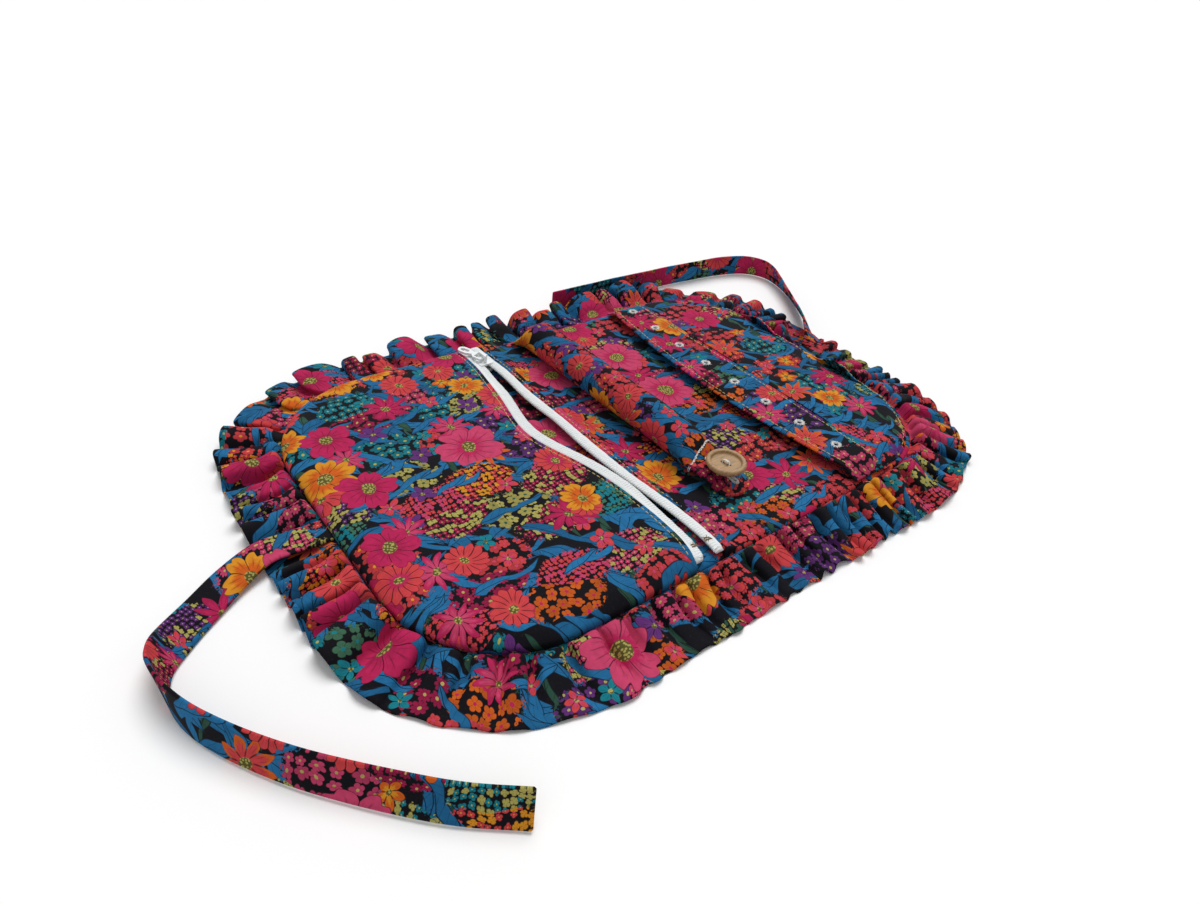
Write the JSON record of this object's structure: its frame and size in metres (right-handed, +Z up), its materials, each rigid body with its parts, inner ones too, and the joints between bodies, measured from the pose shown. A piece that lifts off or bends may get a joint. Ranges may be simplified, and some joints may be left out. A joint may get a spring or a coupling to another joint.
{
  "type": "jewelry pouch",
  "caption": "Quilted jewelry pouch lying open like a book: ruffled edge, zip pocket, padded ring bar with button tab, earring strip, slip pocket and ties.",
  "frame": {"origin": "on the table under the middle of the opened pouch", "axes": "+X along the opened pouch from the zip pocket end to the slip pocket end, +Y along the folds to the edge where the zip closes, +Z up"},
  "size_m": [0.474, 0.2959, 0.0262],
  "materials": {
    "print_cloth": "dark floral printed cotton lawn, matt",
    "wadding": "soft polyester wadding",
    "zip_tape": "white woven zip tape",
    "zip_coil": "white nylon coil",
    "gold_thread": "gold-brown sewing thread",
    "white_thread": "white sewing thread",
    "white_enamel": "white glossy enamel",
    "wood": "turned light wood, satin"
  },
  "bodies": {
    "left_half": {"cover_left": "print_cloth", "wadding_left": "wadding", "lining_left": "print_cloth", "ruffle_left": "print_cloth", "zip_pocket_front": "print_cloth", "zip_pocket_facing": "print_cloth", "zip_tape_left": "zip_tape", "zip_tape_right": "zip_tape", "zip_coil_left": "zip_coil", "zip_coil_right": "zip_coil", "bar_tack_left": "gold_thread", "bar_tack_right": "gold_thread", "tie_left": "print_cloth"},
    "slider": {"zip_slider": "white_enamel"},
    "pull": {"zip_pull": "white_enamel"},
    "spine": {"cover_spine": "print_cloth", "wadding_spine": "wadding", "lining_spine": "print_cloth", "ruffle_spine_near": "print_cloth", "ruffle_spine_far": "print_cloth", "button": "wood", "button_thread": "white_thread"},
    "ring_bar": {"ring_bar_cover": "print_cloth", "ring_bar_filling": "wadding", "ring_bar_end_stitch": "white_thread", "ring_bar_tab": "print_cloth", "buttonhole_stitch": "white_thread"},
    "right_half": {"cover_right": "print_cloth", "wadding_right": "wadding", "lining_right": "print_cloth", "ruffle_right": "print_cloth", "slip_pocket": "print_cloth", "tie_right": "print_cloth"},
    "earring_strip": {"earring_strip": "print_cloth", "eyelet_1": "white_thread", "eyelet_2": "white_thread", "eyelet_3": "white_thread", "eyelet_4": "white_thread", "eyelet_5": "white_thread", "eyelet_6": "white_thread", "eyelet_7": "white_thread", "eyelet_8": "white_thread"}
  },
  "joints": [
    {"name": "spine_fold", "type": "hinge", "parent": "left_half", "child": "spine", "pos_m": [-0.0135, 0, 0.0059], "axis": [0, -1, 0], "range_deg": [0, 90]},
    {"name": "cover_fold", "type": "hinge", "parent": "spine", "child": "right_half", "pos_m": [0.0305, 0, 0.0059], "axis": [0, -1, 0], "range_deg": [0, 90]},
    {"name": "zip_slide", "type": "slide", "parent": "left_half", "child": "slider", "axis": [0.0267, -0.9996, 0], "range_m": [0, 0.172], "deforming": ["zip_tape_left", "zip_tape_right", "zip_coil_left", "zip_coil_right"]},
    {"name": "pull_swing", "type": "hinge", "parent": "slider", "child": "pull", "pos_m": [-0.0335, 0.085, 0.01362], "axis": [0.9169, 0.3992, 0], "range_deg": [0, 180]},
    {"name": "ring_bar_lift", "type": "hinge", "parent": "spine", "child": "ring_bar", "pos_m": [0.006, 0.097, 0.0062], "axis": [-0.9994, -0.0344, 0], "range_deg": [0, 60], "deforming": ["ring_bar_tab", "buttonhole_stitch"]},
    {"name": "strip_lift", "type": "hinge", "parent": "right_half", "child": "earring_strip", "pos_m": [0.0967, 0, 0.0125], "axis": [0, 1, 0], "range_deg": [0, 9]}
  ],
  "couplings": [
    {"joint": "cover_fold", "follows": "spine_fold", "ratio": 1}
  ]
}
